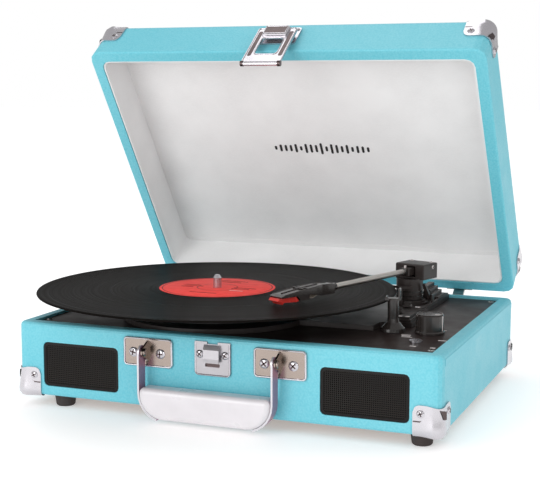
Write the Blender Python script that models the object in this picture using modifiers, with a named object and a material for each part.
"""Suitcase record player: a clamshell case with a deck, platter, record and tonearm.

Lengths are metres and +Z is up. Each piece is modelled in the case frame, whose origin is the
centre of the case's footprint on the floor, with +X to the right, +Y to the hinges and the lid
closed. Pivot empties then open the lid, and the top empty moves the case frame so that the
world origin is the middle of the whole object's footprint.
"""

import math

import bmesh
import bpy
from mathutils import Matrix, Vector

# Clearances
GAP = 0.0003

# Case
CASE_WIDTH = 0.3560
CASE_DEPTH = 0.2667
FOOT_HEIGHT = 0.0097
BASE_BOTTOM = 0.0100
BASE_TOP = 0.0703
BASE_RIM = 0.0102
BASE_LEDGE = 0.0040
CORNER_RADIUS = 0.0070
EDGE_RADIUS = 0.0035
DECK_TOP = BASE_TOP - 0.0020
DECK_THICKNESS = 0.0025
FLOOR_PANEL = 0.0035
FLOOR_REBATE = 0.0082

# Lid, in its closed place
LID_BOTTOM = BASE_TOP + 0.0005
LID_TOP = LID_BOTTOM + 0.0415
LID_RIM = 0.0097
LID_TOP_THICKNESS = 0.0030
LID_CORNER_RADIUS = 0.0100
LINING = 0.0012
HINGE_Y = CASE_DEPTH / 2 + 0.0065
HINGE_Z = BASE_TOP - 0.0063
LID_OPEN = math.radians(54.8)

# Corner caps
CAP_THICKNESS = 0.0009
CAP_REACH = 0.0215
CAP_HEIGHT = 0.0250
CAP_UNDER = 0.0060

# Record and its drive
SPINDLE = Vector((-0.0390, -0.0426, 0))
SPINDLE_RADIUS = 0.0035
RECORD_RADIUS = 0.1505
RECORD_TOP = 0.0932
RECORD_THICKNESS = 0.0018
MAT_TOP = RECORD_TOP - RECORD_THICKNESS - GAP
MAT_THICKNESS = 0.0013
PLATTER_RADIUS = 0.0760
PLATTER_TOP = MAT_TOP - MAT_THICKNESS - GAP
PLATTER_BOTTOM = 0.0765
DRIVE_RADIUS = 0.0480
PULLEY_RADIUS = 0.0040
PULLEY_DISTANCE = 0.0620
PULLEY_AZIMUTH = math.radians(150)
BELT_THICKNESS = 0.0008
BELT_GAP = 0.0004

# Plinth, the raised moulding that carries the platter and the tonearm
PLINTH_BOTTOM = DECK_TOP + GAP
PLINTH_TOP = PLINTH_BOTTOM + 0.0040
PLINTH_DISC = 0.0790
PLINTH_RIGHT = 0.1225
PLINTH_FRONT = -0.0540
PLINTH_BACK = 0.1180
PLATFORM_RIGHT = 0.1275
PLATFORM_FRONT = -0.0320
PLATFORM_BACK = 0.0270
PLATFORM_TOP = 0.0768

# Tonearm, whose turret turns about TOWER
TOWER = Vector((0.1000, 0.0620, 0))
ARM_AZIMUTH = math.radians(-107.0)
ARM_HEIGHT = 0.1010
TUBE_RADIUS = 0.0025
TUBE_START = 0.0020
TUBE_END = 0.1250
HEAD_BEND = math.radians(-12.0)
HEAD_START = 0.1190
HEAD_LENGTH = 0.0580
HEAD_WIDTH = 0.0150
STYLUS_CLEARANCE = 0.0003
TURRET_TOP = 0.1070
TURRET_BOTTOM = 0.0935
TURRET_HALF_WIDTH = 0.0146
TURRET_BACK = -0.0225
TURRET_FRONT = 0.0010
LIFT_PIVOT = -0.0080

# Arm rest
REST_POST = Vector((0.1165, -0.0480, 0))

# Controls
KNOB = Vector((0.1457, -0.0450, 0))
KNOB_RADIUS = 0.0110
KNOB_TOP = 0.0837
HEADPHONE = Vector((0.1444, -0.0820, 0))
SPEED_KNOB = Vector((0.1115, -0.0140, 0))
STOP_KNOB = Vector((0.1115, 0.0130, 0))

# Fittings on the front wall share this middle line
FITTING_X = -0.0020
PLATE_OFFSET = 0.0556
FRONT = -CASE_DEPTH / 2
HANDLE_PIVOT_Y = -0.1425
HANDLE_PIVOT_Z = 0.0560
LATCH_PIVOT_Y = -0.1370
LATCH_PIVOT_Z = 0.0935

# How far the whole object reaches at rest, which sets the world origin
REACH_LEFT = SPINDLE.x - RECORD_RADIUS
REACH_RIGHT = CASE_WIDTH / 2 + GAP + CAP_THICKNESS
REACH_FRONT = SPINDLE.y - RECORD_RADIUS
REACH_BACK = HINGE_Y + 0.0355
ORIGIN_X = (REACH_LEFT + REACH_RIGHT) / 2
ORIGIN_Y = (REACH_FRONT + REACH_BACK) / 2

for stale in list(bpy.data.objects):
    bpy.data.objects.remove(stale)

parts = bpy.data.collections.new("suitcase_record_player")
tools = bpy.data.collections.new("cutters")
bpy.context.scene.collection.children.link(parts)
bpy.context.scene.collection.children.link(tools)
tools.hide_render = True


# ---------------------------------------------------------------- helpers


def paint(name, colour, roughness, metallic=0.0):
    """A Principled material in this linear colour."""
    material = bpy.data.materials.new(name)
    material.use_nodes = True
    shader = material.node_tree.nodes["Principled BSDF"]
    shader.inputs["Base Color"].default_value = (*colour, 1)
    shader.inputs["Roughness"].default_value = roughness
    shader.inputs["Metallic"].default_value = metallic
    return material


TURQUOISE = paint("turquoise_leatherette", (0.18, 0.60, 0.75), 0.45)
LINING_GREY = paint("grey_lining", (0.62, 0.62, 0.62), 0.8)
CHROME = paint("chrome", (0.75, 0.74, 0.75), 0.12, 1.0)
STEEL = paint("bright_steel", (0.60, 0.59, 0.58), 0.3, 1.0)
BLACK = paint("black_plastic", (0.030, 0.027, 0.025), 0.35)
DECK_BLACK = paint("deck_black", (0.022, 0.019, 0.018), 0.4)
RUBBER = paint("black_rubber", (0.035, 0.027, 0.025), 0.7)
GRILLE_BLACK = paint("grille_black", (0.015, 0.012, 0.011), 0.7)
VINYL = paint("vinyl", (0.012, 0.012, 0.012), 0.25)
WHITE = paint("white_grip", (0.72, 0.68, 0.71), 0.35)
RED = paint("red_plastic", (0.80, 0.06, 0.05), 0.35)
ALUMINIUM = paint("aluminium", (0.62, 0.60, 0.58), 0.3, 1.0)
BOARD = paint("circuit_green", (0.03, 0.16, 0.06), 0.5)
FELT = paint("platter_mat", (0.05, 0.05, 0.05), 0.9)
PANEL_BROWN = paint("fibreboard", (0.16, 0.10, 0.06), 0.8)

case_place = {}


def empty(name, place, parent=None, turn=Matrix()):
    """An empty at a point of the case frame, which turns what hangs on it by turn."""
    pivot = bpy.data.objects.new(name, None)
    parts.objects.link(pivot)
    pivot.empty_display_size = 0.01
    case_place[name] = Vector(place)
    hang(pivot, parent, Matrix.Translation(place) @ turn)
    return pivot


def hang(obj, parent, place=Matrix()):
    """Puts obj at place in the case frame, on a parent that may be turned."""
    if parent:
        obj.parent = parent
        obj.matrix_parent_inverse = Matrix.Translation(-case_place[parent.name])
    obj.matrix_basis = place


def piece(name, mesh, material, parent, place=Matrix()):
    """A visible sub-part."""
    obj = bpy.data.objects.new(name, mesh)
    parts.objects.link(obj)
    mesh.materials.append(material)
    hang(obj, parent, place)
    return obj


def tool(mesh, parent, place=Matrix(), name="cutter"):
    """A hidden shape that cuts or joins a sub-part."""
    obj = bpy.data.objects.new(name, mesh)
    tools.objects.link(obj)
    obj.hide_render = True
    obj.display_type = "WIRE"
    hang(obj, parent, place)
    return obj


def combine(obj, other, operation="DIFFERENCE"):
    change = obj.modifiers.new(other.name, "BOOLEAN")
    change.operation = operation
    change.object = other
    change.solver = "EXACT"


def finished(bm, name="shape", sharp=35):
    """The mesh of a bmesh, smooth except at its edges."""
    bmesh.ops.recalc_face_normals(bm, faces=bm.faces)
    mesh = bpy.data.meshes.new(name)
    bm.to_mesh(mesh)
    bm.free()
    mesh.shade_smooth()
    mesh.set_sharp_from_angle(angle=math.radians(sharp))
    return mesh


def bevel(bm, edges, radius, segments):
    bmesh.ops.bevel(
        bm, geom=edges, offset=radius, segments=segments, profile=0.5, affect="EDGES", clamp_overlap=True
    )


def block(low, high, upright=0.0, top=0.0, bottom=0.0, segments=3):
    """A box between two corners, with rounded upright, top and bottom edges."""
    low = Vector(low)
    high = Vector(high)
    bm = bmesh.new()
    bmesh.ops.create_cube(bm, size=1.0)
    bmesh.ops.scale(bm, vec=high - low, verts=bm.verts)
    bmesh.ops.translate(bm, vec=(low + high) / 2, verts=bm.verts)
    if upright:
        edges = [e for e in bm.edges if abs(e.verts[0].co.z - e.verts[1].co.z) > 1e-6]
        bevel(bm, edges, upright, segments)
    for radius, level in ((top, high.z), (bottom, low.z)):
        if radius:
            edges = [e for e in bm.edges if all(abs(v.co.z - level) < 1e-6 for v in e.verts)]
            bevel(bm, edges, radius, segments)
    return finished(bm)


def soft_box(low, high, radius, segments=2):
    """A box with all its edges rounded alike."""
    low = Vector(low)
    high = Vector(high)
    bm = bmesh.new()
    bmesh.ops.create_cube(bm, size=1.0)
    bmesh.ops.scale(bm, vec=high - low, verts=bm.verts)
    bmesh.ops.translate(bm, vec=(low + high) / 2, verts=bm.verts)
    bevel(bm, list(bm.edges), radius, segments)
    return finished(bm)


def rod(radius, low, high, sides=24):
    """An upright cylinder on the local Z axis."""
    bm = bmesh.new()
    bmesh.ops.create_cone(
        bm, cap_ends=True, segments=sides, radius1=radius, radius2=radius, depth=high - low
    )
    bmesh.ops.translate(bm, vec=(0, 0, (low + high) / 2), verts=bm.verts)
    return finished(bm)


def turned(name, profile, material, parent, place=Matrix(), steps=32):
    """A turned sub-part. The profile runs down the outer side; one with no end on the axis is a ring."""
    mesh = bpy.data.meshes.new(name)
    ring = profile[0][0] > 0
    count = len(profile)
    edges = [(i, i + 1) for i in range(count - 1)] + ([(count - 1, 0)] if ring else [])
    mesh.from_pydata([(r, 0, z) for r, z in profile], edges, [])
    obj = piece(name, mesh, material, parent, place)
    screw = obj.modifiers.new("turn", "SCREW")
    screw.axis = "Z"
    screw.steps = steps
    screw.render_steps = steps
    screw.use_merge_vertices = True
    screw.merge_threshold = 0.00001
    screw.use_smooth_shade = True
    return obj


def flat(outline, thickness, holes=()):
    """An outline in the local XY plane, as thick as given, centred on that plane."""
    curve = bpy.data.curves.new("outline", "CURVE")
    curve.dimensions = "2D"
    curve.fill_mode = "BOTH"
    curve.extrude = thickness / 2
    for loop in (outline, *holes):
        spline = curve.splines.new("POLY")
        spline.points.add(len(loop) - 1)
        for point, (x, y) in zip(spline.points, loop):
            point.co = (x, y, 0, 1)
        spline.use_cyclic_u = True
    holder = bpy.data.objects.new("outline", curve)
    tools.objects.link(holder)
    graph = bpy.context.evaluated_depsgraph_get()
    mesh = bpy.data.meshes.new_from_object(holder.evaluated_get(graph))
    bpy.data.objects.remove(holder)
    bm = bmesh.new()
    bm.from_mesh(mesh)
    bmesh.ops.remove_doubles(bm, verts=bm.verts, dist=0.000001)
    bpy.data.meshes.remove(mesh)
    return finished(bm)


def arc(centre, radius, start, end, steps):
    """Points on an arc, from the start angle to the end angle in degrees."""
    angles = [math.radians(start + (end - start) * i / steps) for i in range(steps + 1)]
    return [(centre[0] + radius * math.cos(a), centre[1] + radius * math.sin(a)) for a in angles]


def rounded(left, right, low, high, radius, steps=3):
    """A rectangle outline with round corners."""
    return (
        arc((right - radius, high - radius), radius, 0, 90, steps)
        + arc((left + radius, high - radius), radius, 90, 180, steps)
        + arc((left + radius, low + radius), radius, 180, 270, steps)
        + arc((right - radius, low + radius), radius, 270, 360, steps)
    )


def facing_front(y):
    """Stands an outline up: its x stays x, its y becomes height, and it faces -Y."""
    return Matrix.Translation((0, y, 0)) @ Matrix.Rotation(math.pi / 2, 4, "X")


def facing_side(x):
    """Stands an outline up in a plane across X: its x becomes y and its y becomes height."""
    turn = Matrix(((0, 0, 1, 0), (1, 0, 0, 0), (0, 1, 0, 0), (0, 0, 0, 1)))
    return Matrix.Translation((x, 0, 0)) @ turn


def along_x(y, z, x=0.0):
    """Lays the local Z axis along +X, through this point."""
    return Matrix.Translation((x, y, z)) @ Matrix.Rotation(math.pi / 2, 4, "Y")


def along_y(x, z, y=0.0):
    """Lays the local Z axis along +Y, through this point."""
    return Matrix.Translation((x, y, z)) @ Matrix.Rotation(-math.pi / 2, 4, "X")


player = empty("player", (0, 0, 0))
player.location = (-ORIGIN_X, -ORIGIN_Y, 0)
lid = empty("lid_pivot", (0, HINGE_Y, HINGE_Z), player, Matrix.Rotation(-LID_OPEN, 4, "X"))


# ---------------------------------------------------------------- case base


def case_block(grow, low, high, corner, top, bottom):
    """A rounded block as wide and deep as the case, grown outwards by grow."""
    half = Vector((CASE_WIDTH / 2 + grow, CASE_DEPTH / 2 + grow, 0))
    return block((-half.x, -half.y, low), (half.x, half.y, high), corner + grow, top, bottom)


def base_outside(grow):
    return case_block(
        grow, BASE_BOTTOM - grow, BASE_TOP + grow, CORNER_RADIUS, EDGE_RADIUS + grow, EDGE_RADIUS + grow
    )


def lid_outside(grow):
    return case_block(
        grow, LID_BOTTOM - grow, LID_TOP + grow, LID_CORNER_RADIUS, EDGE_RADIUS + grow, 0.0015 + grow
    )


GRILLE_MIDDLE = 0.1195
GRILLE_WIDTH = 0.0690
GRILLE_LOW = 0.0185
GRILLE_HIGH = 0.0550
GRILLE_CORNER = 0.0040
JACKS_LEFT = 0.0960
JACKS_RIGHT = 0.1500
JACKS_LOW = 0.0280
JACKS_HIGH = 0.0500


def grille_outline(side, inset):
    middle = side * GRILLE_MIDDLE
    half = GRILLE_WIDTH / 2 - inset
    return rounded(middle - half, middle + half, GRILLE_LOW + inset, GRILLE_HIGH - inset, GRILLE_CORNER)


def inside_block(inset, low, high, corner=0.0):
    """A block that fills the case's inside, this far in from its outer faces."""
    x = CASE_WIDTH / 2 - inset
    y = CASE_DEPTH / 2 - inset
    return block((-x, -y, low), (x, y, high), corner)


base = piece("base_shell", base_outside(0), TURQUOISE, player)
ledge_z = DECK_TOP - DECK_THICKNESS - GAP
combine(base, tool(inside_block(BASE_RIM, ledge_z, BASE_TOP + 0.01), player, name="deck_well"))
combine(base, tool(inside_block(BASE_RIM + BASE_LEDGE, 0, BASE_TOP), player, name="base_hollow"))
floor_cut = inside_block(FLOOR_REBATE - GAP, 0, BASE_BOTTOM + FLOOR_PANEL + GAP)
combine(base, tool(floor_cut, player, name="floor_rebate"))
for side, word in ((-1, "left"), (1, "right")):
    window = flat(grille_outline(side, 0), 0.04)
    combine(base, tool(window, player, facing_front(FRONT), f"speaker_window_{word}"))
jack_window = block((JACKS_LEFT, 0.11, JACKS_LOW), (JACKS_RIGHT, 0.15, JACKS_HIGH))
combine(base, tool(jack_window, player, name="jack_window"))

panel = inside_block(FLOOR_REBATE, BASE_BOTTOM, BASE_BOTTOM + FLOOR_PANEL)
piece("bottom_panel", panel, PANEL_BROWN, player)

deck = piece("deck_plate", inside_block(BASE_RIM + GAP, ledge_z + GAP, DECK_TOP), DECK_BLACK, player)
pulley_place = SPINDLE + PULLEY_DISTANCE * Vector((math.cos(PULLEY_AZIMUTH), math.sin(PULLEY_AZIMUTH), 0))
DECK_HOLES = (
    ("spindle_hole", SPINDLE, SPINDLE_RADIUS + GAP),
    ("pulley_hole", pulley_place, 0.0080),
    ("knob_hole", KNOB, 0.0035),
    ("jack_hole", HEADPHONE, 0.0043),
)
for name, place, radius in DECK_HOLES:
    hole = tool(rod(radius, 0.05, 0.10), player, Matrix.Translation(place), name)
    combine(deck, hole)

FOOT_PLACES = (
    ("front_left", -0.1430, -0.1180),
    ("front_right", 0.1600, -0.1180),
    ("rear_left", -0.1430, 0.1050),
    ("rear_right", 0.1600, 0.1050),
)
FOOT_PROFILE = ((0, FOOT_HEIGHT), (0.0090, FOOT_HEIGHT), (0.0078, 0.0010), (0.0068, 0), (0, 0))
for word, x, y in FOOT_PLACES:
    turned(f"foot_{word}", FOOT_PROFILE, RUBBER, player, Matrix.Translation((x, y, 0)), 24)


# ---------------------------------------------------------------- corner caps


def corner_cap(name, outside, x_side, y_side, corner_z, up, parent):
    """A sheet cap over one corner: a thin layer of the case's own outside, kept near that corner."""
    cap = piece(name, outside(GAP + CAP_THICKNESS), CHROME, parent)
    near = Vector((x_side * (CASE_WIDTH / 2 + 0.01), y_side * (CASE_DEPTH / 2 + 0.01), corner_z - up * 0.01))
    far = Vector((x_side * (CASE_WIDTH / 2 - CAP_REACH), y_side * (CASE_DEPTH / 2 - CAP_REACH),
                  corner_z + up * CAP_HEIGHT))
    low = [min(a, b) for a, b in zip(near, far)]
    high = [max(a, b) for a, b in zip(near, far)]
    combine(cap, tool(soft_box(low, high, 0.0050, 2), parent, name=f"{name}_bounds"), "INTERSECT")
    combine(cap, tool(outside(GAP), parent, name=f"{name}_inside"))
    return cap


for y_side, y_word in ((-1, "front"), (1, "rear")):
    for x_side, x_word in ((-1, "left"), (1, "right")):
        where = f"{y_word}_{x_word}"
        cap = corner_cap(f"base_cap_{where}", base_outside, x_side, y_side, BASE_BOTTOM, 1, player)
        underside = inside_block(CAP_UNDER, 0, BASE_BOTTOM + 0.0010)
        combine(cap, tool(underside, player, name=f"base_cap_under_{where}"))
        corner_cap(f"lid_cap_{where}", lid_outside, x_side, y_side, LID_TOP, -1, lid)


# ---------------------------------------------------------------- speakers

SPEAKER_BACK = FRONT + BASE_RIM + BASE_LEDGE + GAP
SPEAKER_PROFILE = (
    (0, 0.0200),
    (0.0130, 0.0200),
    (0.0130, 0.0110),
    (0.0200, 0.0030),
    (0.0220, 0.0030),
    (0.0220, 0),
    (0.0195, 0),
    (0.0080, 0.0070),
    (0, 0.0070),
)
for side, word in ((-1, "left"), (1, "right")):
    plate = flat(grille_outline(side, GAP), 0.0020)
    piece(f"speaker_grille_{word}", plate, GRILLE_BLACK, player, facing_front(FRONT + 0.0014))
    middle = (GRILLE_LOW + GRILLE_HIGH) / 2
    place = along_y(side * GRILLE_MIDDLE, middle, SPEAKER_BACK)
    turned(f"speaker_{word}", SPEAKER_PROFILE, BLACK, player, place, 24)


# ---------------------------------------------------------------- rear sockets and circuit board

jack_panel = piece(
    "rear_socket_panel",
    block(
        (JACKS_LEFT + GAP, CASE_DEPTH / 2 - 0.0060, JACKS_LOW + GAP),
        (JACKS_RIGHT - GAP, CASE_DEPTH / 2 - 0.0040, JACKS_HIGH - GAP),
    ),
    BLACK,
    player,
)
SOCKET_Z = (JACKS_LOW + JACKS_HIGH) / 2
for x, radius, reach, name in ((0.1060, 0.0042, 0.0030, "rca_a"), (0.1220, 0.0042, 0.0030, "rca_b")):
    barrel = rod(radius, 0, 0.0040 + reach, 16)
    place = along_y(x, SOCKET_Z, CASE_DEPTH / 2 - 0.0050)
    combine(jack_panel, tool(barrel, player, place, name), "UNION")
inlet_body = rod(0.0055, -0.0100, 0.0030, 16)
inlet_place = along_y(0.1390, SOCKET_Z, CASE_DEPTH / 2 - 0.0050)
combine(jack_panel, tool(inlet_body, player, inlet_place, "dc_inlet_body"), "UNION")
combine(jack_panel, tool(rod(0.0028, -0.0080, 0.0100, 16), player, inlet_place, "dc_inlet_bore"))

board_low = BASE_BOTTOM + FLOOR_PANEL + GAP
board_block = block((0.0500, 0.0300, board_low), (0.1400, 0.1000, board_low + 0.0016))
board = piece("circuit_board", board_block, BOARD, player)
BOARD_ITEMS = ((0.0600, 0.0400, 0.0250, 0.0200, 0.0100), (0.0950, 0.0450, 0.0120, 0.0120, 0.0140),
               (0.1150, 0.0700, 0.0150, 0.0200, 0.0060))
for index, (x, y, width, depth, height) in enumerate(BOARD_ITEMS):
    item = block((x, y, board_low + 0.0010), (x + width, y + depth, board_low + height))
    combine(board, tool(item, player, name=f"board_item_{index}"), "UNION")


# ---------------------------------------------------------------- lid

shell = piece("lid_shell", lid_outside(0), TURQUOISE, lid)
inner_corner = LID_CORNER_RADIUS - 0.0020
lid_roof = LID_TOP - LID_TOP_THICKNESS
combine(shell, tool(inside_block(LID_RIM, 0.05, lid_roof, inner_corner), lid, name="lid_hollow"))
lining_bottom = LID_BOTTOM + 0.0010
lining = piece("lid_lining", inside_block(LID_RIM + GAP, lining_bottom, lid_roof - GAP, inner_corner - GAP),
               LINING_GREY, lid)
lining_hollow = inside_block(LID_RIM + GAP + LINING, 0.05, lid_roof - GAP - LINING, inner_corner - GAP - LINING)
combine(lining, tool(lining_hollow, lid, name="lining_hollow"))


# ---------------------------------------------------------------- hinges

HINGE_MIDDLE = 0.1260
HINGE_HALF = 0.0120
KNUCKLE_RADIUS = 0.0030
PIN_RADIUS = 0.0013
LEAF_BACK = CASE_DEPTH / 2 + GAP
LEAF_THICKNESS = 0.0012
KNUCKLE_HALF = 0.0050


def hinge_knuckle(obj, left, right, parent, name):
    barrel = rod(KNUCKLE_RADIUS, left, right, 16)
    combine(obj, tool(barrel, parent, along_x(HINGE_Y, HINGE_Z), name), "UNION")


def hinge(x, word):
    """A butt hinge: the base leaf holds the pin, and the lid leaf's knuckle turns on it."""
    low = HINGE_Z - 0.0190
    leaf = block((x - HINGE_HALF, LEAF_BACK, low), (x + HINGE_HALF, LEAF_BACK + LEAF_THICKNESS, HINGE_Z - 0.0010))
    base_leaf = piece(f"hinge_base_leaf_{word}", leaf, STEEL, player)
    for side in (-1, 1):
        left, right = sorted((x + side * (KNUCKLE_HALF + GAP), x + side * HINGE_HALF))
        web = block((left, LEAF_BACK + 0.0005, HINGE_Z - 0.0030), (right, HINGE_Y, HINGE_Z - 0.0010))
        combine(base_leaf, tool(web, player, name=f"base_web_{word}_{side}"), "UNION")
        hinge_knuckle(base_leaf, left, right, player, f"base_knuckle_{word}_{side}")
    pin = rod(PIN_RADIUS, x - HINGE_HALF + 0.0010, x + HINGE_HALF - 0.0010, 12)
    combine(base_leaf, tool(pin, player, along_x(HINGE_Y, HINGE_Z), f"pin_{word}"), "UNION")

    high = LID_BOTTOM + 0.0200
    leaf = block((x - HINGE_HALF, LEAF_BACK, LID_BOTTOM + 0.0015), (x + HINGE_HALF, LEAF_BACK + LEAF_THICKNESS, high))
    lid_leaf = piece(f"hinge_lid_leaf_{word}", leaf, STEEL, lid)
    web = block(
        (x - KNUCKLE_HALF, LEAF_BACK + 0.0002, HINGE_Z + 0.0010),
        (x + KNUCKLE_HALF, LEAF_BACK + 0.0030, LID_BOTTOM + 0.0040),
    )
    combine(lid_leaf, tool(web, lid, name=f"lid_web_{word}"), "UNION")
    foot = block(
        (x - KNUCKLE_HALF, LEAF_BACK + 0.0010, HINGE_Z + 0.0010), (x + KNUCKLE_HALF, HINGE_Y, HINGE_Z + 0.0028)
    )
    combine(lid_leaf, tool(foot, lid, name=f"lid_foot_{word}"), "UNION")
    hinge_knuckle(lid_leaf, x - KNUCKLE_HALF, x + KNUCKLE_HALF, lid, f"lid_knuckle_{word}")
    bore = rod(PIN_RADIUS + 0.0002, x - 0.03, x + 0.03, 12)
    combine(lid_leaf, tool(bore, lid, along_x(HINGE_Y, HINGE_Z), f"pin_bore_{word}"))


hinge(-HINGE_MIDDLE, "left")
hinge(HINGE_MIDDLE, "right")


# ---------------------------------------------------------------- catch and latch

PLATE_THICKNESS = 0.0012
PLATE_FACE = FRONT - GAP - PLATE_THICKNESS / 2
CATCH_LOW = 0.0402
CATCH_HIGH = 0.0668
CATCH_HALF = 0.0150
catch_outline = (
    arc((FITTING_X - CATCH_HALF + 0.003, CATCH_LOW + 0.003), 0.003, 180, 270, 3)
    + arc((FITTING_X + CATCH_HALF - 0.003, CATCH_LOW + 0.003), 0.003, 270, 360, 3)
    + [
        (FITTING_X + CATCH_HALF, CATCH_HIGH),
        (FITTING_X + 0.0045, CATCH_HIGH),
        (FITTING_X + 0.0045, CATCH_HIGH - 0.0016),
        (FITTING_X - 0.0045, CATCH_HIGH - 0.0016),
        (FITTING_X - 0.0045, CATCH_HIGH),
        (FITTING_X - CATCH_HALF, CATCH_HIGH),
    ]
)
slot = rounded(FITTING_X - 0.0062, FITTING_X + 0.0062, 0.0472, 0.0500, 0.0008, 2)
catch_mesh = flat(catch_outline, PLATE_THICKNESS, [slot])
catch = piece("catch_plate", catch_mesh, CHROME, player, facing_front(PLATE_FACE))
tongue_outline = [
    (PLATE_FACE + 0.0003, 0.0648),
    (PLATE_FACE - 0.0020, 0.0645),
    (PLATE_FACE - 0.0038, 0.0610),
    (PLATE_FACE - 0.0042, 0.0540),
    (PLATE_FACE - 0.0040, 0.0512),
    (PLATE_FACE - 0.0028, 0.0512),
    (PLATE_FACE - 0.0028, 0.0550),
    (PLATE_FACE + 0.0003, 0.0590),
]
tongue = tool(flat(tongue_outline, 0.0132), player, facing_side(FITTING_X), "catch_tongue")
combine(catch, tongue, "UNION")

latch_pivot = empty("latch_pivot", (FITTING_X, LATCH_PIVOT_Y, LATCH_PIVOT_Z), lid)
LATCH_PLATE_LOW = 0.0800
LATCH_PLATE_HIGH = 0.1040
latch_plate = piece(
    "latch_base_plate",
    flat(rounded(FITTING_X - 0.0175, FITTING_X + 0.0175, LATCH_PLATE_LOW, LATCH_PLATE_HIGH, 0.0025), PLATE_THICKNESS),
    CHROME,
    lid,
    facing_front(PLATE_FACE),
)
for side in (-1, 1):
    ear_outline = (
        [(PLATE_FACE, LATCH_PIVOT_Z - 0.0030)]
        + arc((LATCH_PIVOT_Y, LATCH_PIVOT_Z), 0.0016, 270, 90, 5)
        + [(PLATE_FACE, LATCH_PIVOT_Z + 0.0030)]
    )
    ear = tool(flat(ear_outline, 0.0012), lid, facing_side(FITTING_X + side * 0.0125), f"latch_ear_{side}")
    combine(latch_plate, ear, "UNION")
pin = tool(rod(0.0009, -0.0130, 0.0130, 12), lid, along_x(LATCH_PIVOT_Y, LATCH_PIVOT_Z, FITTING_X), "latch_pin")
combine(latch_plate, pin, "UNION")

HASP_LOW = 0.0445
HASP_HIGH = 0.0950
HASP_FACE = -0.1395
hasp_frame = rounded(FITTING_X - 0.0175, FITTING_X + 0.0175, HASP_LOW, HASP_HIGH, 0.0020)
hasp_window = rounded(FITTING_X - 0.0100, FITTING_X + 0.0100, 0.0560, 0.0800, 0.0035)
hasp = piece("latch_hasp", flat(hasp_frame, 0.0014, [hasp_window]), CHROME, latch_pivot, facing_front(HASP_FACE))
knuckle = rod(0.00195, -0.0113, 0.0113, 16)
combine(hasp, tool(knuckle, latch_pivot, along_x(LATCH_PIVOT_Y, LATCH_PIVOT_Z, FITTING_X), "hasp_knuckle"), "UNION")
cap_block = soft_box((FITTING_X - 0.0110, -0.1428, 0.0822), (FITTING_X + 0.0110, -0.1390, 0.0953), 0.0012)
combine(hasp, tool(cap_block, latch_pivot, name="hasp_thumb_cap"), "UNION")
roller = rod(0.0021, -0.0172, 0.0172, 16)
combine(hasp, tool(roller, latch_pivot, along_x(-0.1392, 0.0438, FITTING_X), "hasp_roller"), "UNION")
hasp_bore = rod(0.0012, -0.03, 0.03, 12)
combine(hasp, tool(hasp_bore, latch_pivot, along_x(LATCH_PIVOT_Y, LATCH_PIVOT_Z, FITTING_X), "hasp_bore"))


# ---------------------------------------------------------------- handle

handle = empty("handle_pivot", (FITTING_X, HANDLE_PIVOT_Y, HANDLE_PIVOT_Z), player)
HANDLE_PLATE_LOW = 0.0430
HANDLE_PLATE_HIGH = 0.0658
HANDLE_PLATE_HALF = 0.0212
TAB_THICKNESS = 0.0015
STRAP_THICKNESS = 0.0015
STRAP_OFFSET = -(TAB_THICKNESS + STRAP_THICKNESS) / 2 - GAP
STRAP_HALF_WIDTH = 0.0055
RIVET_RADIUS = 0.0018
GRIP_LOW = 0.0048
GRIP_HIGH = 0.0292
GRIP_HALF_DEPTH = 0.0082
GRIP_CORNER = 0.0200


def handle_plate(x, word):
    """The wall plate with its folded-out tab, and the rivet that the strap hangs on."""
    outline = rounded(x - HANDLE_PLATE_HALF, x + HANDLE_PLATE_HALF, HANDLE_PLATE_LOW, HANDLE_PLATE_HIGH, 0.0030)
    plate = piece(f"handle_plate_{word}", flat(outline, PLATE_THICKNESS), CHROME, player, facing_front(PLATE_FACE))
    tab_outline = (
        [(PLATE_FACE, HANDLE_PLATE_LOW + 0.0030)]
        + [(HANDLE_PIVOT_Y + 0.0020, HANDLE_PIVOT_Z - 0.0045)]
        + arc((HANDLE_PIVOT_Y, HANDLE_PIVOT_Z), 0.0042, 270, 90, 5)
        + [(PLATE_FACE, HANDLE_PLATE_HIGH - 0.0015)]
    )
    tab = tool(flat(tab_outline, TAB_THICKNESS), player, facing_side(x), f"handle_tab_{word}")
    combine(plate, tab, "UNION")
    bore = rod(RIVET_RADIUS + 0.0002, -0.01, 0.01, 16)
    combine(plate, tool(bore, player, along_x(HANDLE_PIVOT_Y, HANDLE_PIVOT_Z, x), f"tab_bore_{word}"))

    right = TAB_THICKNESS / 2 + GAP
    left = STRAP_OFFSET - STRAP_THICKNESS / 2 - GAP
    rivet_profile = (
        (0, right + 0.0014),
        (0.0022, right + 0.0013),
        (0.0032, right + 0.0005),
        (0.0032, right),
        (RIVET_RADIUS, right),
        (RIVET_RADIUS, left),
        (0.0030, left),
        (0.0030, left - 0.0008),
        (0, left - 0.0010),
    )
    turned(f"handle_rivet_{word}", rivet_profile, CHROME, player, along_x(HANDLE_PIVOT_Y, HANDLE_PIVOT_Z, x), 16)


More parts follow.
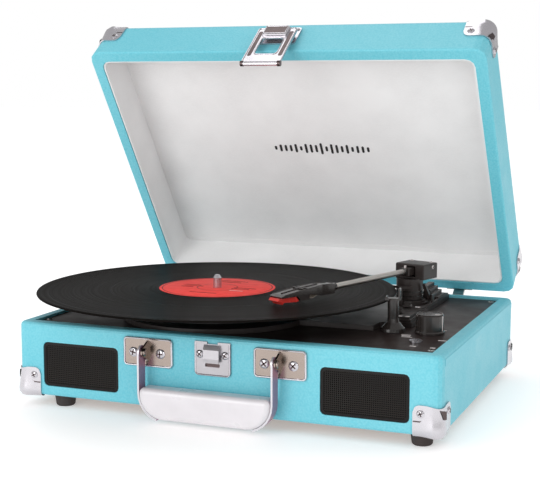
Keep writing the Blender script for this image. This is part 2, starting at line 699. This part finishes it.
def handle_strap(x, outward, word):
    """A flat strip that hangs on the rivet and hooks under the grip's rounded lower corner."""
    inner = x - outward * STRAP_THICKNESS / 2
    corner_x = inner - outward * GRIP_CORNER
    corner_z = GRIP_LOW + GRIP_CORNER
    start, end = (0, -75) if outward > 0 else (180, 255)
    far = arc((corner_x, corner_z), GRIP_CORNER + GAP + STRAP_THICKNESS, start, end, 6)
    near = arc((corner_x, corner_z), GRIP_CORNER + GAP, end, start, 6)
    top = HANDLE_PIVOT_Z
    outline = [(far[0][0], top)] + far + near + [(near[-1][0], top)]
    strip = flat(outline, 2 * STRAP_HALF_WIDTH)
    strap = piece(f"handle_strap_{word}", strip, CHROME, handle, facing_front(HANDLE_PIVOT_Y))
    round_end = rod(STRAP_HALF_WIDTH, -STRAP_THICKNESS / 2, STRAP_THICKNESS / 2, 32)
    at_rivet = along_x(HANDLE_PIVOT_Y, HANDLE_PIVOT_Z, x)
    combine(strap, tool(round_end, handle, at_rivet, f"strap_end_{word}"), "UNION")
    bore = rod(RIVET_RADIUS + 0.0002, -0.01, 0.01, 16)
    combine(strap, tool(bore, handle, at_rivet, f"strap_bore_{word}"))
    return inner


grip_ends = []
for side, word in ((-1, "left"), (1, "right")):
    plate_x = FITTING_X + side * PLATE_OFFSET
    handle_plate(plate_x, word)
    grip_ends.append(handle_strap(plate_x + STRAP_OFFSET, side, word))
grip_left, grip_right = grip_ends[0], grip_ends[1]
grip_outline = (
    arc((grip_right - 0.0040, GRIP_HIGH - 0.0040), 0.0040, 0, 90, 3)
    + arc((grip_left + 0.0040, GRIP_HIGH - 0.0040), 0.0040, 90, 180, 3)
    + arc((grip_left + GRIP_CORNER, GRIP_LOW + GRIP_CORNER), GRIP_CORNER, 180, 270, 6)
    + arc((grip_right - GRIP_CORNER, GRIP_LOW + GRIP_CORNER), GRIP_CORNER, 270, 360, 6)
)
grip = piece("handle_grip", flat(grip_outline, 2 * GRIP_HALF_DEPTH), WHITE, handle, facing_front(HANDLE_PIVOT_Y))
soften = grip.modifiers.new("soft_edges", "BEVEL")
soften.width = 0.0040
soften.segments = 3
soften.limit_method = "ANGLE"
soften.angle_limit = math.radians(60)


# ---------------------------------------------------------------- platter, record and drive

at_spindle = Matrix.Translation(SPINDLE)
platter_pivot = empty("platter_pivot", SPINDLE, player)
SPINDLE_TOP = 0.1045
SPINDLE_PROFILE = (
    (0, SPINDLE_TOP),
    (0.0020, SPINDLE_TOP - 0.0005),
    (SPINDLE_RADIUS, SPINDLE_TOP - 0.0030),
    (SPINDLE_RADIUS, 0.0750),
    (0.0080, 0.0750),
    (0.0080, PLINTH_TOP + GAP),
    (SPINDLE_RADIUS, PLINTH_TOP + GAP),
    (SPINDLE_RADIUS, 0.0640),
    (0, 0.0640),
)
turned("spindle", SPINDLE_PROFILE, CHROME, player, at_spindle, 24)

WEB_Z = PLATTER_TOP - 0.0028
PLATTER_PROFILE = (
    (PLATTER_RADIUS, PLATTER_TOP),
    (PLATTER_RADIUS, PLATTER_BOTTOM),
    (PLATTER_RADIUS - 0.0025, PLATTER_BOTTOM),
    (PLATTER_RADIUS - 0.0025, WEB_Z),
    (DRIVE_RADIUS, WEB_Z),
    (DRIVE_RADIUS, PLATTER_BOTTOM + 0.0010),
    (DRIVE_RADIUS - 0.0030, PLATTER_BOTTOM + 0.0010),
    (DRIVE_RADIUS - 0.0030, WEB_Z),
    (0.0090, WEB_Z),
    (0.0090, 0.0753),
    (SPINDLE_RADIUS + 0.0001, 0.0753),
    (SPINDLE_RADIUS + 0.0001, PLATTER_TOP),
)
turned("platter", PLATTER_PROFILE, BLACK, platter_pivot, at_spindle, 40)
MAT_PROFILE = (
    (PLATTER_RADIUS - 0.0020, MAT_TOP),
    (PLATTER_RADIUS - 0.0020, MAT_TOP - MAT_THICKNESS),
    (SPINDLE_RADIUS + 0.0004, MAT_TOP - MAT_THICKNESS),
    (SPINDLE_RADIUS + 0.0004, MAT_TOP),
)
turned("platter_mat", MAT_PROFILE, FELT, platter_pivot, at_spindle, 40)
RECORD_LOW = RECORD_TOP - RECORD_THICKNESS
RECORD_PROFILE = (
    (RECORD_RADIUS - 0.0005, RECORD_TOP),
    (RECORD_RADIUS, RECORD_TOP - 0.0005),
    (RECORD_RADIUS, RECORD_LOW + 0.0005),
    (RECORD_RADIUS - 0.0005, RECORD_LOW),
    (SPINDLE_RADIUS + 0.0003, RECORD_LOW),
    (SPINDLE_RADIUS + 0.0003, RECORD_TOP),
)
turned("record", RECORD_PROFILE, VINYL, platter_pivot, at_spindle, 72)

MOTOR_TOP = DECK_TOP - DECK_THICKNESS - GAP
SHAFT_RADIUS = 0.0010
PULLEY_LOW = 0.0775
PULLEY_HIGH = 0.0835
MOTOR_PROFILE = (
    (0, PULLEY_HIGH + 0.0005),
    (SHAFT_RADIUS, PULLEY_HIGH + 0.0005),
    (SHAFT_RADIUS, MOTOR_TOP),
    (0.0160, MOTOR_TOP),
    (0.0160, MOTOR_TOP - 0.0240),
    (0, MOTOR_TOP - 0.0240),
)
at_pulley = Matrix.Translation(pulley_place)
turned("motor", MOTOR_PROFILE, STEEL, player, at_pulley, 24)
pulley_pivot = empty("pulley_pivot", pulley_place, player)
PULLEY_PROFILE = (
    (PULLEY_RADIUS, PULLEY_HIGH),
    (PULLEY_RADIUS, PULLEY_LOW),
    (SHAFT_RADIUS + 0.0002, PULLEY_LOW),
    (SHAFT_RADIUS + 0.0002, PULLEY_HIGH),
)
turned("motor_pulley", PULLEY_PROFILE, ALUMINIUM, pulley_pivot, at_pulley, 24)


def belt_loop(slack):
    """The outline round the drive ring and the pulley, this far out from both."""
    big = DRIVE_RADIUS + slack
    small = PULLEY_RADIUS + slack
    tangent = math.degrees(math.acos((big - small) / PULLEY_DISTANCE))
    return arc((0, 0), big, tangent, 360 - tangent, 40) + arc((PULLEY_DISTANCE, 0), small, -tangent, tangent, 6)


belt = flat(belt_loop(BELT_GAP + BELT_THICKNESS), 0.0040, [belt_loop(BELT_GAP)])
belt_place = Matrix.Translation(SPINDLE + Vector((0, 0, 0.0805))) @ Matrix.Rotation(PULLEY_AZIMUTH, 4, "Z")
piece("drive_belt", belt, RUBBER, player, belt_place)


# ---------------------------------------------------------------- plinth and controls

plinth = piece("plinth", rod(PLINTH_DISC, PLINTH_BOTTOM, PLINTH_TOP, 64), BLACK, player, at_spindle)
bench_outline = [
    (0.0100, PLINTH_FRONT),
    (0.1020, PLINTH_FRONT),
    (0.1020, -0.0380),
    (0.1080, PLATFORM_FRONT),
    (PLATFORM_RIGHT, PLATFORM_FRONT),
    (PLATFORM_RIGHT, PLATFORM_BACK),
    (PLINTH_RIGHT, PLATFORM_BACK),
    (PLINTH_RIGHT, PLINTH_BACK),
    (0.0100, PLINTH_BACK),
]
bench = flat(bench_outline, PLINTH_TOP - PLINTH_BOTTOM)
bench_place = Matrix.Translation((0, 0, (PLINTH_TOP + PLINTH_BOTTOM) / 2))
combine(plinth, tool(bench, player, bench_place, "tonearm_bench"), "UNION")
PLATFORM_STEPS = ((0.0012, PLATFORM_TOP - 0.0020), (0.0032, PLATFORM_TOP))
for index, (inset, z) in enumerate(PLATFORM_STEPS):
    step = block(
        (0.1062 + inset, PLATFORM_FRONT + inset, PLINTH_BOTTOM + 0.001),
        (PLATFORM_RIGHT - inset, PLATFORM_BACK - inset, z),
    )
    combine(plinth, tool(step, player, name=f"platform_step_{index}"), "UNION")
RIDGES = 4
RIDGE_PITCH = 0.0037
for index in range(RIDGES):
    right = 0.1100 + RIDGE_PITCH * index
    left = right - RIDGE_PITCH - 0.0015
    ridge = block(
        (left, 0.0820, PLINTH_BOTTOM + 0.001),
        (right, 0.1110 - 0.0008 * index, 0.0840 - 0.0029 * index),
    )
    combine(plinth, tool(ridge, player, name=f"ridge_{index}"), "UNION")
rail = block((0.1198, PLATFORM_BACK - 0.0030, PLINTH_BOTTOM + 0.001), (0.1221, 0.1150, PLINTH_TOP + 0.0016))
combine(plinth, tool(rail, player, name="edge_rail"), "UNION")
at_tower = Matrix.Translation(TOWER)
for radius, top in ((0.0165, PLINTH_TOP + 0.0015), (0.0140, PLINTH_TOP + 0.0033)):
    ring = rod(radius, PLINTH_BOTTOM + 0.001, top, 32)
    combine(plinth, tool(ring, player, at_tower, f"tower_ring_{top:.4f}"), "UNION")
combine(plinth, tool(rod(SPINDLE_RADIUS + GAP, 0.05, 0.10), player, at_spindle, "plinth_spindle_hole"))
combine(plinth, tool(rod(0.0080, 0.05, 0.10, 16), player, at_pulley, "plinth_pulley_hole"))

knob_pivot = empty("knob_pivot", KNOB, player)
KNOB_LOW = DECK_TOP + GAP
KNOB_PROFILE = (
    (0, KNOB_TOP),
    (KNOB_RADIUS - 0.0008, KNOB_TOP),
    (KNOB_RADIUS, KNOB_TOP - 0.0008),
    (KNOB_RADIUS, KNOB_LOW + 0.0022),
    (KNOB_RADIUS + 0.0009, KNOB_LOW + 0.0014),
    (KNOB_RADIUS + 0.0009, KNOB_LOW),
    (0.0030, KNOB_LOW),
    (0.0030, 0.0560),
    (0, 0.0560),
)
turned("volume_knob", KNOB_PROFILE, BLACK, knob_pivot, Matrix.Translation(KNOB), 32)
JACK_PROFILE = (
    (0.0052, DECK_TOP + 0.0016),
    (0.0052, DECK_TOP + GAP),
    (0.0040, DECK_TOP + GAP),
    (0.0040, 0.0560),
    (0.0019, 0.0560),
    (0.0019, DECK_TOP + 0.0016),
)
turned("headphone_jack", JACK_PROFILE, CHROME, player, Matrix.Translation(HEADPHONE), 20)


def slide_knob(name, place, parent):
    """A small slide button with a raised grip."""
    x, y, low = place.x, place.y, PLATFORM_TOP + GAP
    button = piece(name, soft_box((x - 0.0035, y - 0.0030, low), (x + 0.0035, y + 0.0030, low + 0.0022), 0.0005, 1),
                   BLACK, parent)
    grip_bar = soft_box((x - 0.0030, y - 0.0010, low + 0.0010), (x + 0.0030, y + 0.0010, low + 0.0048), 0.0004, 1)
    combine(button, tool(grip_bar, parent, name=f"{name}_grip"), "UNION")


speed_pivot = empty("speed_slide", SPEED_KNOB, player)
stop_pivot = empty("auto_stop_slide", STOP_KNOB, player)
slide_knob("speed_selector", SPEED_KNOB, speed_pivot)
slide_knob("auto_stop_switch", STOP_KNOB, stop_pivot)


# ---------------------------------------------------------------- arm rest

POST_TOP = 0.0948
POST_PROFILE = (
    (0, POST_TOP),
    (0.0046, POST_TOP),
    (0.0044, 0.0790),
    (0.0052, 0.0760),
    (0.0095, 0.0712),
    (0.0098, PLINTH_BOTTOM),
    (0, PLINTH_BOTTOM),
)
post = turned("arm_rest_post", POST_PROFILE, BLACK, player, Matrix.Translation(REST_POST), 24)
rest_direction = math.atan2(REST_POST.y - TOWER.y, REST_POST.x - TOWER.x)
rest_turn = Matrix.Translation(REST_POST) @ Matrix.Rotation(rest_direction + math.pi / 2, 4, "Z")
saddle = block((-0.0061, -0.0036, POST_TOP - 0.0012), (0.0061, 0.0036, POST_TOP + 0.0004))
combine(post, tool(saddle, player, rest_turn, "rest_saddle"), "UNION")
for left, right, top in ((-0.0058, -0.0044, 0.0966), (0.0044, 0.0058, 0.1030)):
    prong = block((left, -0.0033, POST_TOP - 0.0008), (right, 0.0033, top))
    combine(post, tool(prong, player, rest_turn, f"rest_prong_{top:.4f}"), "UNION")


# ---------------------------------------------------------------- tonearm

swing = empty("tonearm_pivot", TOWER, player)
arm_direction = Vector((math.cos(ARM_AZIMUTH), math.sin(ARM_AZIMUTH), 0))
lift_place = TOWER + LIFT_PIVOT * arm_direction + Vector((0, 0, ARM_HEIGHT))
lift = empty("lift_pivot", lift_place, swing)
# In the arm's own frame +X runs out along the tube and +Y to its left.
arm_frame = at_tower @ Matrix.Rotation(ARM_AZIMUTH, 4, "Z")

TURRET_SLOT = 0.0060
column = rod(0.0118, PLINTH_TOP + 0.0036, TURRET_BOTTOM + 0.0010, 32)
turret = piece("tonearm_turret", column, BLACK, swing, at_tower)
housing = block(
    (TURRET_BACK, -TURRET_HALF_WIDTH, TURRET_BOTTOM),
    (TURRET_FRONT, TURRET_HALF_WIDTH, TURRET_TOP),
    0.0010,
    0.0018,
    0.0,
    2,
)
combine(turret, tool(housing, swing, arm_frame, "turret_housing"), "UNION")
slot_box = block(
    (LIFT_PIVOT - 0.0080, -TURRET_SLOT, TURRET_BOTTOM + 0.0022),
    (0.0300, TURRET_SLOT, TURRET_TOP - 0.0020),
)
combine(turret, tool(slot_box, swing, arm_frame, "turret_slot"))
across_arm = arm_frame @ Matrix.Translation((LIFT_PIVOT, 0, ARM_HEIGHT)) @ Matrix.Rotation(-math.pi / 2, 4, "X")
cross_pin = rod(0.0012, -TURRET_HALF_WIDTH - 0.0008, TURRET_HALF_WIDTH - 0.0010, 12)
combine(turret, tool(cross_pin, swing, across_arm, "lift_pin"), "UNION")

tube_place = arm_frame @ Matrix.Translation((0, 0, ARM_HEIGHT)) @ Matrix.Rotation(math.pi / 2, 4, "Y")
tube = piece("arm_tube", rod(TUBE_RADIUS, TUBE_START, TUBE_END, 16), ALUMINIUM, lift, tube_place)
yoke = piece(
    "arm_yoke",
    soft_box((LIFT_PIVOT - 0.0050, -0.0045, ARM_HEIGHT - 0.0042), (0.0090, 0.0045, ARM_HEIGHT + 0.0031), 0.0008, 1),
    BLACK,
    lift,
    arm_frame,
)
tube_bore = rod(TUBE_RADIUS + GAP, TUBE_START - GAP, TUBE_END, 16)
combine(yoke, tool(tube_bore, lift, tube_place, "tube_bore"))
combine(yoke, tool(rod(0.0015, -0.02, 0.02, 12), lift, across_arm, "yoke_bore"))

head_frame = (
    arm_frame
    @ Matrix.Translation((HEAD_START, 0, 0))
    @ Matrix.Rotation(HEAD_BEND, 4, "Z")
)
stand_up = Matrix.Rotation(math.pi / 2, 4, "X")
STYLUS_LOW = RECORD_TOP + STYLUS_CLEARANCE


def side_profile(points, width, place):
    """A piece from its outline seen from the side: x runs along the head and y is height."""
    return flat(points, width), place @ stand_up


HEAD_PROFILE = [
    (0.0000, 0.0968),
    (0.0000, 0.1046),
    (0.0160, 0.1052),
    (0.0230, 0.1046),
    (0.0390, 0.1030),
    (0.0540, 0.1010),
    (HEAD_LENGTH, 0.0998),
    (HEAD_LENGTH - 0.0010, 0.0988),
    (0.0390, 0.0992),
    (0.0270, 0.0994),
    (0.0155, 0.0968),
]
mesh, place = side_profile(HEAD_PROFILE, HEAD_WIDTH, head_frame)
head = piece("headshell", mesh, BLACK, lift, place)
combine(head, tool(rod(TUBE_RADIUS + GAP, TUBE_START, TUBE_END + GAP, 16), lift, tube_place, "head_bore"))
for side in (-1, 1):
    taper = flat(
        [(-0.01, side * 0.0044), (0.0140, side * 0.0056), (0.0255, side * 0.0085), (0.0255, side * 0.02),
         (-0.01, side * 0.02)][:: side],
        0.05,
    )
    place = head_frame @ Matrix.Translation((0, 0, 0.100))
    combine(head, tool(taper, lift, place, f"head_taper_{side}"))
CARTRIDGE_PROFILE = [(0.0275, 0.0990), (0.0275, 0.0950), (0.0370, 0.0950), (0.0400, 0.0988)]
mesh, place = side_profile([(x, z) for x, z in CARTRIDGE_PROFILE], 0.0120, head_frame)
piece("cartridge", mesh, BLACK, lift, place)
STYLUS_PROFILE = [
    (0.0415, 0.0985),
    (0.0385, 0.0950),
    (0.0410, 0.0944),
    (0.0540, STYLUS_LOW + 0.0016),
    (0.0552, STYLUS_LOW),
    (0.0564, STYLUS_LOW + 0.0016),
    (0.0600, 0.0966),
    (0.0585, 0.0985),
]
mesh, place = side_profile(STYLUS_PROFILE, 0.0115, head_frame)
piece("stylus_holder", mesh, RED, lift, place)


# ---------------------------------------------------------------- cueing

CUE_RADIUS = 0.0215
CUE_TOP = 0.0900
cue_rise = empty("cue_rise", TOWER, player)
cue_outline = arc((0, 0), CUE_RADIUS + 0.0012, -134, -70, 10)
cue_outline += arc((0, 0), CUE_RADIUS - 0.0012, -70, -134, 10)
cue_place = at_tower @ Matrix.Translation((0, 0, CUE_TOP - 0.0010))
cue = piece("cue_platform", flat(cue_outline, 0.0020), BLACK, cue_rise, cue_place)
stem_azimuth = math.radians(-96)
stem_place = TOWER + CUE_RADIUS * Vector((math.cos(stem_azimuth), math.sin(stem_azimuth), 0))
stem = rod(0.0018, PLINTH_TOP + GAP, CUE_TOP - 0.0010, 12)
combine(cue, tool(stem, cue_rise, Matrix.Translation(stem_place), "cue_stem"), "UNION")

LEVER = Vector((0.1178, 0.0630, 0.0780))
LEVER_THICKNESS = 0.0024
lever_pivot = empty("cue_lever_pivot", LEVER, player)
lever_outline = arc((LEVER.y, LEVER.z), 0.0026, 210, 30, 5) + [
    (LEVER.y - 0.0060, LEVER.z + 0.0135),
    (LEVER.y - 0.0090, LEVER.z + 0.0125),
]
lever_lean = Matrix.Translation(LEVER) @ Matrix.Rotation(math.radians(-15), 4, "Y") @ Matrix.Translation(-LEVER)
piece("cue_lever", flat(lever_outline, LEVER_THICKNESS), BLACK, lever_pivot, lever_lean @ facing_side(LEVER.x))
bracket_left = LEVER.x + LEVER_THICKNESS / 2 + 0.0010
bracket = block(
    (bracket_left, LEVER.y - 0.0040, PLINTH_BOTTOM + 0.001),
    (0.1212, LEVER.y + 0.0040, LEVER.z + 0.0030),
)
combine(plinth, tool(bracket, player, name="lever_bracket"), "UNION")
